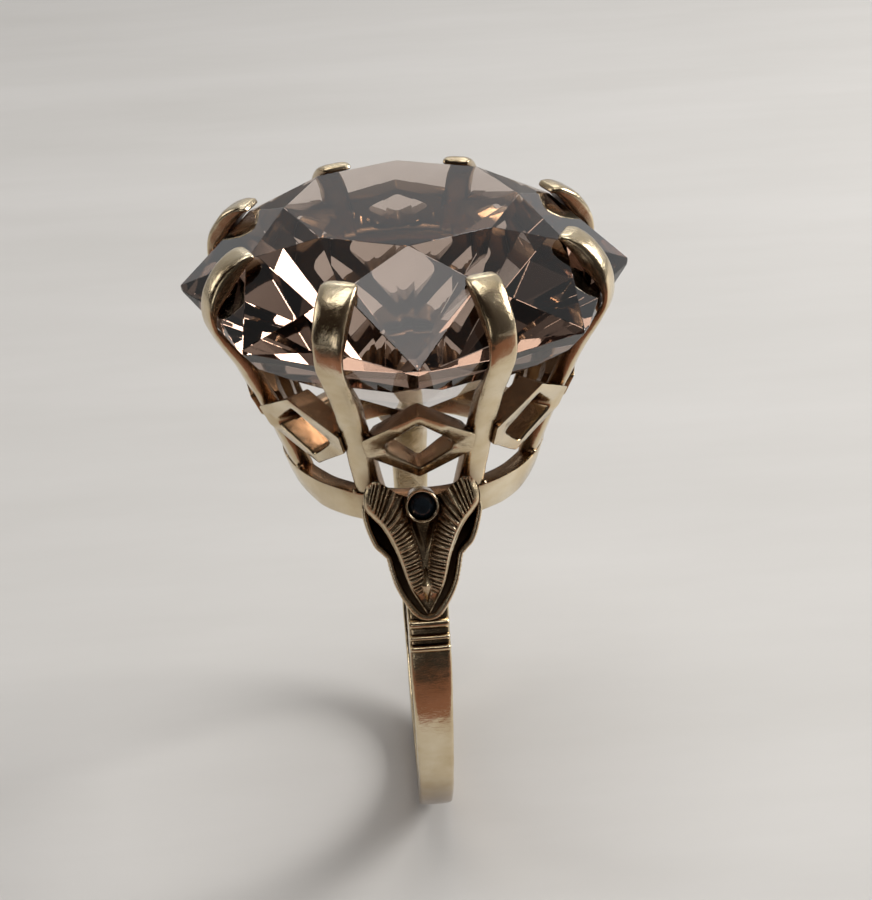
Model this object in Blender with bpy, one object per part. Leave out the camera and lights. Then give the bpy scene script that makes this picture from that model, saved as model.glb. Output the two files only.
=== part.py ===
"""A cocktail ring: one large faceted stone held by eight claws over an openwork gallery, a conical base
rail, a slim shank, and two ornamental shoulders that each carry a small bezel-set stone.

The origin is the centre of the finger hole. +X runs along the finger, +Z runs up to the large stone, and
the two shoulders lie towards -Y (front) and +Y (back). Dimensions are in millimetres, scaled by MM.
"""

import math

import bmesh
import bpy
from mathutils import Matrix, Vector

MM = 0.001

# Clearance left where two pieces are soldered or set together.
GAP = 0.04

# Finger hole and shank.
FINGER_RADIUS = 8.5
SHANK_RADIUS = 9.8
SHANK_EDGE = 0.17
SHANK_TOP_Z = 7.76
SHANK_FIRST_ANGLE = 40.0
SHANK_STEP = 6.0
SHANK_HALF_WIDTHS = ((40.0, 0.92), (61.0, 0.9), (75.0, 0.9), (95.0, 0.83), (112.0, 0.8), (180.0, 0.73))
RIDGE_RADIUS = 10.08
RIDGE_SPANS = ((61.2, 63.3), (65.1, 66.3), (67.7, 69.2))
RIDGE_FLANK = 0.2

# Large stone: an eight-cornered outline, cut by tiers of facet planes.
CLAW_COUNT = 8
CLAW_STEP = 360.0 / CLAW_COUNT
CLAW_PHASE = CLAW_STEP / 2
STONE_CORNER = 9.9
STONE_CORNER_SIDE = 9.78
STONE_CORNER_TURN = 3.0
STONE_FLAT = 8.95
UPPER_GIRDLE_REACH = 9.2
GIRDLE_TOP = 17.42
GIRDLE_BOTTOM = 16.95
TABLE_Z = 20.75
TABLE_CORNER = 5.1
STAR_RADIUS = 7.3
PAVILION_BREAK_RADIUS = 8.6
PAVILION_BREAK_Z = 15.65
CULET_Z = 10.3
CULET_HALF_WIDTH = 0.25

# Claws, from the base rail up: outer radius, inner radius, height and half width.
CLAW_STATIONS = (
    (6.05, 5.20, 9.50, 0.64),
    (6.52, 5.68, 10.80, 0.62),
    (7.02, 6.18, 12.10, 0.60),
    (7.58, 6.74, 13.40, 0.60),
    (8.20, 7.36, 14.80, 0.60),
    (8.70, 8.08, 15.70, 0.60),
    (9.02, 8.52, 16.30, 0.60),
    (9.32, 9.05, 16.95, 0.60),
    (9.42, 9.05, 17.60, 0.62),
)
# The tip bends over the crown: outer radius and height, inner radius and height, half width.
CLAW_TIP_STATIONS = (
    (9.32, 18.35, 8.69, 18.10, 0.66),
    (8.95, 19.05, 8.20, 18.65, 0.70),
    (8.40, 19.68, 7.80, 19.18, 0.74),
    (7.75, 20.08, 7.42, 19.66, 0.76),
    (7.30, 20.16, 7.12, 19.84, 0.70),
)
CLAW_SHOULDER = 0.68
CLAW_FACE = 0.6

# Gallery frames: height of each outline corner, outside and around the hole.
FRAME_TOP_Z = 14.25
FRAME_UPPER_SIDE_Z = 12.95
FRAME_LOWER_SIDE_Z = 11.95
FRAME_BOTTOM_Z = 10.45
FRAME_BOTTOM_RADIUS = 6.15
FRAME_SLOPE = 0.41
FRAME_DEPTH = 1.25
HOLE_TOP_Z = 13.75
HOLE_BOTTOM_Z = 11.0
HOLE_SIDE_Z = 12.4
HOLE_SIDE_HALF_HEIGHT = 0.12
HOLE_HALF_WIDTH = 1.5

# Base rail.
RAIL_TOP_Z = 9.46
RAIL_BOTTOM_Z = 7.8
RAIL_TOP_RADIUS = 6.1
RAIL_BOTTOM_RADIUS = 5.62
RAIL_WALL = 0.85
RAIL_SEGMENTS = 64

# Shoulders are laid out on a slanted plane: S runs up from the tip, N points out of the plane.
TIP_Y = -8.88
TIP_Z = 4.79
SLANT = math.atan(0.44)
SHIELD_OUTLINE = (
    (0.0, 0.0), (0.36, 0.1), (0.68, 0.38), (1.02, 1.0), (1.47, 1.85), (1.72, 2.6), (1.78, 2.95),
    (2.0, 3.0), (2.3, 3.6), (2.5, 4.2), (2.6, 4.72), (0.0, 4.72),
)
POCKET_OUTLINE = (
    (0.0, 0.2), (0.26, 0.3), (0.5, 0.55), (0.84, 1.12), (1.27, 1.92), (1.52, 2.66), (1.62, 3.14),
    (1.92, 3.3), (2.12, 3.7), (2.3, 4.25), (2.38, 5.2), (0.0, 5.2),
)
LEAF_OUTLINE = (
    (0.0, 0.36), (0.5, 1.7), (0.85, 2.75), (1.17, 3.5), (1.66, 4.3), (2.2, 4.78), (2.46, 5.15),
    (2.4, 5.65), (2.15, 6.05), (1.8, 6.24), (1.45, 6.02), (1.1, 5.7),
)
SHIELD_BACK_RADIUS = SHANK_RADIUS + 0.03
SHIELD_FLOOR_RADIUS = 10.08
LEAF_BACK_RADIUS = SHIELD_FLOOR_RADIUS + 0.03
LEAF_HEIGHT = 0.35
PRISM_DEPTH = 3.5

# Bezels and their stones, centred on the shoulders.
BEZEL_S = 5.1
BEZEL_OUTER = 0.75
BEZEL_INNER = 0.63
BEZEL_SEAT_RADIUS = 0.5
BEZEL_FRONT = 0.5
BEZEL_SEAT = 0.02
BEZEL_BACK = -0.6
BEZEL_SEGMENTS = 24
ACCENT_RADIUS = 0.6
ACCENT_SIDES = 12
# Half section of a small stone: radius and height.
ACCENT_SECTION = (
    (0.0, -0.3), (0.46, -0.02), (ACCENT_RADIUS, 0.12), (ACCENT_RADIUS, 0.18), (0.38, 0.36), (0.0, 0.36),
)

CUTTER_SEGMENTS = 180
CUTTER_LENGTH = 20.0

# Colour, metallic value, roughness and alpha of each material.
GOLD_FINISH = ((0.62, 0.47, 0.28), 1.0, 0.24, 1.0)
QUARTZ_FINISH = ((0.42, 0.33, 0.28), 0.0, 0.04, 0.45)
BLUE_STONE_FINISH = ((0.02, 0.035, 0.05), 0.0, 0.08, 1.0)


def clear_scene():
    for obj in list(bpy.data.objects):
        bpy.data.objects.remove(obj, do_unlink=True)


def make_material(name, finish):
    colour, metallic, roughness, alpha = finish
    material = bpy.data.materials.new(name)
    material.use_nodes = True
    shader = material.node_tree.nodes["Principled BSDF"]
    shader.inputs["Base Color"].default_value = (*colour, 1.0)
    shader.inputs["Metallic"].default_value = metallic
    shader.inputs["Roughness"].default_value = roughness
    shader.inputs["Alpha"].default_value = alpha
    return material


def mesh_from(name, bm, material, smooth_angle=30.0):
    """The millimetre bmesh as a mesh in metres, with its faces pointing out."""
    bmesh.ops.recalc_face_normals(bm, faces=bm.faces)
    bmesh.ops.scale(bm, vec=(MM, MM, MM), verts=bm.verts)
    mesh = bpy.data.meshes.new(name)
    bm.to_mesh(mesh)
    bm.free()
    mesh.materials.append(material)
    mesh.shade_smooth()
    mesh.set_sharp_from_angle(angle=math.radians(smooth_angle))
    return mesh


def place(name, mesh, root, azimuth=0.0):
    """One object of this mesh, turned about the stone's axis."""
    obj = bpy.data.objects.new(name, mesh)
    obj.rotation_euler = (0.0, 0.0, math.radians(azimuth))
    obj.parent = root
    bpy.context.scene.collection.objects.link(obj)
    return obj


def loft(bm, rings, closed_path=False):
    """Quads between rings of equally many points. Open paths get an end face at each end."""
    loops = [[bm.verts.new(point) for point in ring] for ring in rings]
    pairs = list(zip(loops, loops[1:] + loops[:1]))
    for first, second in pairs if closed_path else pairs[:-1]:
        for i in range(len(first)):
            j = (i + 1) % len(first)
            bm.faces.new((first[i], first[j], second[j], second[i]))
    if not closed_path:
        bm.faces.new(loops[0])
        bm.faces.new(loops[-1])


def revolve(bm, section, segments):
    """A half section of (radius, height) turned about Z. Points at radius 0 become poles."""
    rings = []
    for radius, height in section:
        if radius == 0.0:
            rings.append([bm.verts.new((0.0, 0.0, height))])
            continue
        turns = [2 * math.pi * i / segments for i in range(segments)]
        rings.append([bm.verts.new((radius * math.cos(t), radius * math.sin(t), height)) for t in turns])
    ends_meet = len(rings[0]) > 1 and len(rings[-1]) > 1
    for first, second in zip(rings, rings[1:] + (rings[:1] if ends_meet else [])):
        for i in range(segments):
            j = (i + 1) % segments
            upper = [first[i % len(first)], first[j % len(first)]]
            lower = [second[j % len(second)], second[i % len(second)]]
            bm.faces.new(list(dict.fromkeys(upper + lower)))


def polar(radius, azimuth, z):
    turn = math.radians(azimuth)
    return Vector((radius * math.cos(turn), radius * math.sin(turn), z))


# ---------------------------------------------------------------- large stone


def stone_outline(z):
    """The girdle outline at one height: eight blunt corners with a slightly waisted side between them."""
    points = []
    for k in range(CLAW_COUNT):
        corner = k * CLAW_STEP
        points.append(polar(STONE_CORNER_SIDE, corner - STONE_CORNER_TURN, z))
        points.append(polar(STONE_CORNER, corner, z))
        points.append(polar(STONE_CORNER_SIDE, corner + STONE_CORNER_TURN, z))
        points.append(polar(STONE_FLAT, corner + CLAW_PHASE, z))
    return points


def facet_planes():
    """Each facet as three points of its plane, tier by tier from the table to the culet."""
    planes = [(Vector((0, 0, TABLE_Z)), Vector((1, 0, TABLE_Z)), Vector((0, 1, TABLE_Z)))]
    half_turn = math.cos(math.radians(CLAW_PHASE))
    main_slope = (TABLE_Z - GIRDLE_TOP) / (STONE_CORNER - TABLE_CORNER)
    star_z = TABLE_Z - main_slope * (STAR_RADIUS * half_turn - TABLE_CORNER)
    break_flat = PAVILION_BREAK_RADIUS * half_turn
    culet = Vector((0, 0, CULET_Z))
    for k in range(CLAW_COUNT):
        corner = k * CLAW_STEP
        claw = corner + CLAW_PHASE
        table = polar(TABLE_CORNER, corner, TABLE_Z)
        next_table = polar(TABLE_CORNER, corner + CLAW_STEP, TABLE_Z)
        star = polar(STAR_RADIUS, claw, star_z)
        girdle = polar(STONE_CORNER, corner, GIRDLE_TOP)
        flat = polar(UPPER_GIRDLE_REACH, claw, GIRDLE_TOP)
        next_girdle = polar(STONE_CORNER, corner + CLAW_STEP, GIRDLE_TOP)
        planes.append((table, polar(STAR_RADIUS, corner - CLAW_PHASE, star_z), girdle))
        planes.append((table, next_table, star))
        planes.append((star, girdle, flat))
        planes.append((star, flat, next_girdle))
        side = polar(1.0, claw + 90.0, 0.0)
        low_flat = polar(STONE_FLAT, claw, GIRDLE_BOTTOM)
        pavilion_break = polar(break_flat, claw, PAVILION_BREAK_Z)
        planes.append((low_flat, low_flat + side, pavilion_break))
        planes.append((culet, culet + side, pavilion_break))
    culet_plane_z = CULET_Z + CULET_HALF_WIDTH * (PAVILION_BREAK_Z - CULET_Z) / break_flat
    planes.append((Vector((0, 0, culet_plane_z)), Vector((1, 0, culet_plane_z)), Vector((0, 1, culet_plane_z))))
    return planes


def cut_by_plane(bm, points):
    """Removes what lies beyond the plane, seen from the middle of the stone, and closes the cut."""
    first, second, third = points
    normal = (second - first).cross(third - first).normalized()
    inside = Vector((0, 0, (GIRDLE_TOP + GIRDLE_BOTTOM) / 2))
    if normal.dot(inside - first) > 0:
        normal.negate()
    everything = bm.verts[:] + bm.edges[:] + bm.faces[:]
    result = bmesh.ops.bisect_plane(
        bm, geom=everything, dist=1e-5, plane_co=first, plane_no=normal, clear_outer=True
    )
    edges = [item for item in result["geom_cut"] if isinstance(item, bmesh.types.BMEdge)]
    open_edges = [edge for edge in edges if edge.is_valid and edge.is_boundary]
    if open_edges:
        bmesh.ops.holes_fill(bm, edges=open_edges, sides=0)


def make_stone(material):
    bm = bmesh.new()
    loft(bm, [stone_outline(CULET_Z - 1.0), stone_outline(TABLE_Z + 1.0)])
    for points in facet_planes():
        cut_by_plane(bm, points)
    bmesh.ops.remove_doubles(bm, verts=bm.verts, dist=1e-4)
    bmesh.ops.triangulate(bm, faces=bm.faces)
    return mesh_from("smoky_quartz", bm, material, smooth_angle=1.0)


# ---------------------------------------------------------------- basket


def claw_ring(outer, inner, half_width):
    """A cross-section with a flattened outer face, between an outer and an inner (radius, height)."""
    outer = Vector((outer[0], 0.0, outer[1]))
    inner = Vector((inner[0], 0.0, inner[1]))
    shoulder = inner.lerp(outer, CLAW_SHOULDER)
    side = Vector((0.0, half_width, 0.0))
    return [
        outer - side * CLAW_FACE, outer + side * CLAW_FACE, shoulder + side,
        inner + side, inner - side, shoulder - side,
    ]


def make_claw(material):
    rings = [claw_ring((outer, z), (inner, z), half) for outer, inner, z, half in CLAW_STATIONS]
    rings += [claw_ring((ro, zo), (ri, zi), half) for ro, zo, ri, zi, half in CLAW_TIP_STATIONS]
    bm = bmesh.new()
    loft(bm, rings)
    return mesh_from("claw", bm, material, smooth_angle=40.0)


def frame_radius(z):
    return FRAME_BOTTOM_RADIUS + FRAME_SLOPE * (z - FRAME_BOTTOM_Z)


def frame_side(radius):
    """Half the width between two claws, at one distance from the stone's axis."""
    turn = math.radians(CLAW_PHASE)
    claw_half_width = CLAW_STATIONS[2][3]
    return (radius * math.sin(turn) - claw_half_width - GAP) / math.cos(turn)


def frame_outline(depth):
    """Six outer corners of a frame's face, at one depth behind its front."""
    corners = []
    for z, side in (
        (FRAME_TOP_Z, 0), (FRAME_UPPER_SIDE_Z, 1), (FRAME_LOWER_SIDE_Z, 1),
        (FRAME_BOTTOM_Z, 0), (FRAME_LOWER_SIDE_Z, -1), (FRAME_UPPER_SIDE_Z, -1),
    ):
        radius = frame_radius(z) - depth
        corners.append(Vector((radius, side * frame_side(radius), z)))
    return corners


def hole_outline(depth):
    """Six corners of the opening in a frame, in step with frame_outline."""
    corners = []
    for z, side in (
        (HOLE_TOP_Z, 0), (HOLE_SIDE_Z + HOLE_SIDE_HALF_HEIGHT, 1), (HOLE_SIDE_Z - HOLE_SIDE_HALF_HEIGHT, 1),
        (HOLE_BOTTOM_Z, 0), (HOLE_SIDE_Z - HOLE_SIDE_HALF_HEIGHT, -1), (HOLE_SIDE_Z + HOLE_SIDE_HALF_HEIGHT, -1),
    ):
        front = frame_radius(z)
        half_width = HOLE_HALF_WIDTH * frame_side(front - depth) / frame_side(front)
        corners.append(Vector((front - depth, side * half_width, z)))
    return corners


def make_gallery_frame(material):
    bm = bmesh.new()
    section = [frame_outline(0.0), frame_outline(FRAME_DEPTH), hole_outline(FRAME_DEPTH), hole_outline(0.0)]
    rings = [[loop[i] for loop in section] for i in range(len(section[0]))]
    loft(bm, rings, closed_path=True)
    return mesh_from("gallery_frame", bm, material, smooth_angle=20.0)


def make_base_rail(material):
    bm = bmesh.new()
    section = (
        (RAIL_TOP_RADIUS, RAIL_TOP_Z), (RAIL_BOTTOM_RADIUS, RAIL_BOTTOM_Z),
        (RAIL_BOTTOM_RADIUS - RAIL_WALL, RAIL_BOTTOM_Z), (RAIL_TOP_RADIUS - RAIL_WALL, RAIL_TOP_Z),
    )
    revolve(bm, section, RAIL_SEGMENTS)
    return mesh_from("base_rail", bm, material)


# ---------------------------------------------------------------- shank


def blend_table(table, value):
    """Straight-line value between the rows of a table of (position, amount)."""
    if value <= table[0][0]:
        return table[0][1]
    for (start, first), (end, last) in zip(table, table[1:]):
        if value <= end:
            return first + (last - first) * (value - start) / (end - start)
    return table[-1][1]


def shank_stations():
    """Angles from the top with their outer radius, down one side, including the three ridges."""
    stations = []
    angle = SHANK_FIRST_ANGLE
    while angle < RIDGE_SPANS[0][0] - 1.0:
        stations.append((angle, SHANK_RADIUS))
        angle += SHANK_STEP
    for start, end in RIDGE_SPANS:
        stations.append((start - RIDGE_FLANK, SHANK_RADIUS))
        stations.append((start + RIDGE_FLANK, RIDGE_RADIUS))
        stations.append((end - RIDGE_FLANK, RIDGE_RADIUS))
        stations.append((end + RIDGE_FLANK, SHANK_RADIUS))
    angle = 75.0
    while angle <= 180.0:
        stations.append((angle, SHANK_RADIUS))
        angle += SHANK_STEP
    return stations


def shank_ring(angle, outer_radius, mirrored, flat_top=False):
    """The shank's cross-section at one angle from the top. A flat top ends it level under the base rail."""
    half_width = blend_table(SHANK_HALF_WIDTHS, angle)
    edge = SHANK_EDGE
    section = (
        (half_width - edge, FINGER_RADIUS), (half_width, FINGER_RADIUS + edge * 0.6),
        (half_width, outer_radius - edge), (half_width - edge * 1.3, outer_radius),
    )
    section += tuple((-x, radius) for x, radius in reversed(section))
    side = 1.0 if mirrored else -1.0
    ring = []
    for x, radius in section:
        turn = math.acos(SHANK_TOP_Z / radius) if flat_top else math.radians(angle)
        ring.append(Vector((x, side * radius * math.sin(turn), radius * math.cos(turn))))
    return ring


def make_shank(material):
    stations = shank_stations()
    rings = [shank_ring(SHANK_FIRST_ANGLE, SHANK_RADIUS, False, flat_top=True)]
    rings += [shank_ring(angle, radius, False) for angle, radius in stations]
    rings += [shank_ring(angle, radius, True) for angle, radius in reversed(stations) if angle < 180.0]
    rings.append(shank_ring(SHANK_FIRST_ANGLE, SHANK_RADIUS, True, flat_top=True))
    bm = bmesh.new()
    loft(bm, rings)
    return mesh_from("shank", bm, material)


# ---------------------------------------------------------------- shoulders


def on_slant(x, s, n=0.0):
    """A point of the front shoulder's plane: x across, s up from the tip, n out of the plane."""
    up = Vector((0.0, math.sin(SLANT), math.cos(SLANT)))
    out = Vector((0.0, -math.cos(SLANT), math.sin(SLANT)))
    return Vector((x, TIP_Y, TIP_Z)) + up * s + out * n


def both_sides(half):
    """A closed outline from its right half, whose first and last points may lie on the centre line."""
    left = [(-x, s) for x, s in reversed(half) if x > 0.0]
    return list(half) + left


def prism(outline, top, bottom):
    """A prism across the slanted plane, between two heights along its normal."""
    bm = bmesh.new()
    loft(bm, [[on_slant(x, s, n) for x, s in outline] for n in (bottom, top)])
    return bm


def cylinder_cutter(name, radius, segments=CUTTER_SEGMENTS):
    """A solid round bar along X through the origin."""
    bm = bmesh.new()
    turn = Matrix.Rotation(math.pi / 2, 3, "Y")
    half = CUTTER_LENGTH / 2
    revolve(bm, ((0.0, half), (radius, half), (radius, -half), (0.0, -half)), segments)
    bmesh.ops.rotate(bm, cent=(0, 0, 0), matrix=turn, verts=bm.verts)
    return cutter(name, bm)


def basket_cutter(name, clearance):
    """A solid cone over the base rail and the feet of the claws, grown by a clearance."""
    rise = 4.0
    lower = RAIL_BOTTOM_Z - 0.6
    slope = (RAIL_TOP_RADIUS - RAIL_BOTTOM_RADIUS) / (RAIL_TOP_Z - RAIL_BOTTOM_Z)
    upper_slope = (CLAW_STATIONS[1][0] - CLAW_STATIONS[0][0]) / (CLAW_STATIONS[1][2] - CLAW_STATIONS[0][2])
    low_radius = RAIL_BOTTOM_RADIUS - slope * 0.6 + clearance
    mid_radius = RAIL_TOP_RADIUS + clearance
    top_radius = mid_radius + upper_slope * rise
    bm = bmesh.new()
    section = (
        (0.0, RAIL_TOP_Z + rise), (top_radius, RAIL_TOP_Z + rise), (mid_radius, RAIL_TOP_Z),
        (low_radius, lower), (0.0, lower),
    )
    revolve(bm, section, RAIL_SEGMENTS)
    return cutter(name, bm)


def cutter(name, bm):
    """A helper solid that only shapes other pieces."""
    bmesh.ops.recalc_face_normals(bm, faces=bm.faces)
    bmesh.ops.scale(bm, vec=(MM, MM, MM), verts=bm.verts)
    mesh = bpy.data.meshes.new(name)
    bm.to_mesh(mesh)
    bm.free()
    obj = bpy.data.objects.new(name, mesh)
    obj.hide_render = True
    obj.display_type = "WIRE"
    bpy.context.scene.collection.objects.link(obj)
    return obj


def cut(obj, tool):
    modifier = obj.modifiers.new("cut_" + tool.name, "BOOLEAN")
    modifier.operation = "DIFFERENCE"
    modifier.object = tool


def leaf_outline():
    """The heart-shaped leaf, with a round seat for the bezel at its top."""
    right = list(LEAF_OUTLINE)
    seat_radius = BEZEL_OUTER + GAP
    for degrees in range(35, -91, -25):
        turn = math.radians(degrees)
        right.append((seat_radius * math.cos(turn), BEZEL_S + seat_radius * math.sin(turn)))
    right[-1] = (0.0, BEZEL_S - seat_radius)
    return both_sides(right)


def make_shield(material):
    bm = prism(both_sides(SHIELD_OUTLINE), 0.0, -PRISM_DEPTH)
    return mesh_from("shoulder_shield", bm, material)


def make_leaf(material):
    bm = prism(leaf_outline(), LEAF_HEIGHT, -PRISM_DEPTH)
    return mesh_from("shoulder_leaf", bm, material)


def stand_on_slant(bm):
    """Moves a piece turned about Z so that it stands on the shoulder at the bezel's centre."""
    turn = Matrix.Rotation(math.pi / 2 - SLANT, 3, "X")
    bmesh.ops.rotate(bm, cent=(0, 0, 0), matrix=turn, verts=bm.verts)
    bmesh.ops.translate(bm, vec=on_slant(0.0, BEZEL_S), verts=bm.verts)


def make_bezel(material):
    section = (
        (BEZEL_OUTER, BEZEL_BACK), (BEZEL_OUTER, BEZEL_FRONT), (BEZEL_INNER, BEZEL_FRONT),
        (BEZEL_INNER, BEZEL_SEAT), (BEZEL_SEAT_RADIUS, BEZEL_SEAT - 0.1), (BEZEL_SEAT_RADIUS, BEZEL_BACK),
    )
    bm = bmesh.new()
    revolve(bm, section, BEZEL_SEGMENTS)
    stand_on_slant(bm)
    return mesh_from("bezel", bm, material)


def make_accent_stone(material):
    bm = bmesh.new()
    revolve(bm, ACCENT_SECTION, ACCENT_SIDES)
    stand_on_slant(bm)
    return mesh_from("accent_stone", bm, material, smooth_angle=1.0)


def main():
    clear_scene()
    gold = make_material("gold", GOLD_FINISH)
    quartz = make_material("smoky_quartz", QUARTZ_FINISH)
    blue_stone = make_material("blue_stone", BLUE_STONE_FINISH)
    root = bpy.data.objects.new("ring_frame", None)
    bpy.context.scene.collection.objects.link(root)

    place("smoky_quartz", make_stone(quartz), root)
    claw = make_claw(gold)
    gallery_frame = make_gallery_frame(gold)
    for k in range(CLAW_COUNT):
        place(f"claw_{k + 1}", claw, root, CLAW_PHASE + k * CLAW_STEP)
        place(f"gallery_frame_{k + 1}", gallery_frame, root, k * CLAW_STEP)

    finger_cutter = cylinder_cutter("finger_cutter", FINGER_RADIUS + GAP)
    cut(place("base_rail", make_base_rail(gold), root), finger_cutter)
    place("shank", make_shank(gold), root)

    shield_back = cylinder_cutter("shield_back_cutter", SHIELD_BACK_RADIUS)
    floor = cylinder_cutter("shield_floor_cutter", SHIELD_FLOOR_RADIUS)
    leaf_back = cylinder_cutter("leaf_back_cutter", LEAF_BACK_RADIUS)
    basket = basket_cutter("basket_cutter", GAP)

    shield = make_shield(gold)
    leaf = make_leaf(gold)
    bezel = make_bezel(gold)
    accent = make_accent_stone(blue_stone)
    for side, azimuth in (("front", 0.0), ("back", 180.0)):
        shield_object = place("shoulder_shield_" + side, shield, root, azimuth)
        leaf_object = place("shoulder_leaf_" + side, leaf, root, azimuth)
        place("bezel_" + side, bezel, root, azimuth)
        place("accent_stone_" + side, accent, root, azimuth)
        cut(shield_object, shield_back)
        cut(shield_object, basket)
        cut(leaf_object, leaf_back)
        cut(leaf_object, basket)
        pocket = cutter("pocket_cutter_" + side, prism(both_sides(POCKET_OUTLINE), 1.0, -PRISM_DEPTH))
        pocket.rotation_euler = (0.0, 0.0, math.radians(azimuth))
        cut(pocket, floor)
        cut(shield_object, pocket)


main()
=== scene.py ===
import math

import bmesh
import bpy
import numpy as np
from mathutils import Matrix, Vector, noise


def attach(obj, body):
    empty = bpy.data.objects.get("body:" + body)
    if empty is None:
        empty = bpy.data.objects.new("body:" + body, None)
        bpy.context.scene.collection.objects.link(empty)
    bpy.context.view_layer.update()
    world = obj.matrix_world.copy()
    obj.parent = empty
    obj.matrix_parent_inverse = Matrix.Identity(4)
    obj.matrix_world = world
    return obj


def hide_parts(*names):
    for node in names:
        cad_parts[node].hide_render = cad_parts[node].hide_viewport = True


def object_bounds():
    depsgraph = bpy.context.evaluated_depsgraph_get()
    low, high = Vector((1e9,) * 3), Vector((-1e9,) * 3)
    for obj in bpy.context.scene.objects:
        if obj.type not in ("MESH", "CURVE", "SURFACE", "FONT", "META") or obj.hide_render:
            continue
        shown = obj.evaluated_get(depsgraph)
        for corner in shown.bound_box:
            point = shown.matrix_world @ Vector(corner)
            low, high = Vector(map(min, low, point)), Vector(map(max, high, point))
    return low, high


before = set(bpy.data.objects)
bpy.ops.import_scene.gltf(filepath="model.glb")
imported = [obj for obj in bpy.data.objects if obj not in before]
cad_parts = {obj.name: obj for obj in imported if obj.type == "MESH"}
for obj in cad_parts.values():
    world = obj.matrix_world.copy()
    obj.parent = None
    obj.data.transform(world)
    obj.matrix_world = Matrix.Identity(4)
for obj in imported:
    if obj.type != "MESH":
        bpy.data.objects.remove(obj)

# Lengths below are in millimetres unless a name says otherwise; meshes are scaled to metres when built.
MM = 0.001
CAD_LOW, CAD_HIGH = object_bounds()

# Camera: place, turn about the vertical, downward pitch, roll, and lens.
CAMERA_PLACE = Vector((-2.342, -73.814, 49.428))
CAMERA_YAW = math.radians(2.61)
CAMERA_PITCH = math.radians(29.094)
CAMERA_ROLL = math.radians(-2.458)
CAMERA_LENS = 72.53
CAMERA_SENSOR = 36.0

# The driving sizes of the ring, as in the CAD model.
FINGER_RADIUS = 8.5
SHANK_RADIUS = 9.8
SHANK_TOP_Z = 7.79
SHANK_FIRST_ANGLE = 40.0
SHANK_HALF_WIDTHS = ((40.0, 0.92), (61.0, 0.9), (75.0, 0.9), (95.0, 0.83), (112.0, 0.8), (180.0, 0.73))
RIDGE_RADIUS = 10.12
RIDGE_SPANS = ((61.2, 63.3), (65.1, 66.3), (67.7, 69.2))

CLAW_COUNT = 8
CLAW_STEP = 360.0 / CLAW_COUNT
CLAW_PHASE = CLAW_STEP / 2
STONE_CORNER = 9.9
STONE_CORNER_SIDE = 9.78
STONE_CORNER_TURN = 3.0
STONE_FLAT = 8.95
UPPER_GIRDLE_REACH = 9.2
GIRDLE_TOP = 17.42
GIRDLE_BOTTOM = 16.95
TABLE_Z = 20.75
TABLE_CORNER = 5.1
STAR_RADIUS = 7.3
PAVILION_BREAK_RADIUS = 8.6
PAVILION_BREAK_Z = 15.65
CULET_Z = 10.3
CULET_HALF_WIDTH = 0.25

# Claw stations: outer radius and height, inner radius and height, half width.
CLAW_STATIONS = (
    (6.00, 9.20, 5.25, 9.20, 0.66),
    (6.05, 9.50, 5.20, 9.50, 0.64),
    (6.52, 10.80, 5.68, 10.80, 0.62),
    (7.02, 12.10, 6.18, 12.10, 0.60),
    (7.58, 13.40, 6.74, 13.40, 0.60),
    (8.20, 14.80, 7.36, 14.80, 0.60),
    (8.70, 15.70, 8.06, 15.70, 0.60),
    (9.02, 16.30, 8.50, 16.30, 0.60),
    (9.30, 16.95, 8.99, 16.95, 0.60),
    (9.40, 17.60, 8.99, 17.60, 0.62),
    (9.30, 18.35, 8.67, 18.10, 0.66),
    (8.95, 19.05, 8.18, 18.65, 0.69),
    (8.40, 19.66, 7.78, 19.18, 0.72),
    (7.75, 20.02, 7.40, 19.62, 0.73),
    (7.34, 20.06, 7.14, 19.80, 0.66),
)

FRAME_TOP_Z = 14.25
FRAME_UPPER_SIDE_Z = 12.95
FRAME_LOWER_SIDE_Z = 11.95
FRAME_BOTTOM_Z = 10.45
FRAME_BOTTOM_RADIUS = 6.15
FRAME_SLOPE = 0.41
FRAME_DEPTH = 1.25
HOLE_TOP_Z = 13.72
HOLE_BOTTOM_Z = 11.02
HOLE_SIDE_Z = 12.4
HOLE_HALF_WIDTH = 1.5

RAIL_TOP_Z = 9.46
RAIL_BOTTOM_Z = 7.8
RAIL_TOP_RADIUS = 6.1
RAIL_BOTTOM_RADIUS = 5.62
RAIL_WALL = 0.85

# Shoulders are laid out on a slanted plane: s runs up from the tip, n points out of the plane.
TIP_Y = -8.88
TIP_Z = 4.79
SLANT = math.atan(0.44)
SHIELD_HALF = (
    (0.0, 0.0), (0.33, 0.08), (0.64, 0.32), (0.98, 0.82), (1.24, 1.3), (1.45, 1.85), (1.58, 2.4),
    (1.66, 2.8), (1.82, 3.02), (2.14, 3.36), (2.38, 3.9), (2.52, 4.4), (2.6, 4.85), (2.56, 5.1),
)
POCKET_HALF = (
    (0.08, 0.1), (0.28, 0.22), (0.5, 0.45), (0.84, 0.92), (1.1, 1.36), (1.31, 1.9), (1.44, 2.44),
    (1.52, 2.85), (1.7, 3.15), (1.98, 3.45), (2.22, 3.95), (2.36, 4.4), (2.44, 4.9),
)
LEAF_HALF = (
    (0.0, 0.3), (0.45, 1.02), (0.78, 1.72), (1.08, 2.7), (1.36, 3.45), (1.76, 4.22), (2.22, 4.76),
    (2.48, 5.15), (2.5, 5.6), (2.38, 6.0), (2.15, 6.22), (1.95, 6.3),
)
SHIELD_BACK_RADIUS = 9.7
SHIELD_FLOOR_RADIUS = 10.08
BEZEL_S = 5.1
BEZEL_OUTER = 0.75
BEZEL_INNER = 0.63


# ---------------------------------------------------------------- helpers


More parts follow.
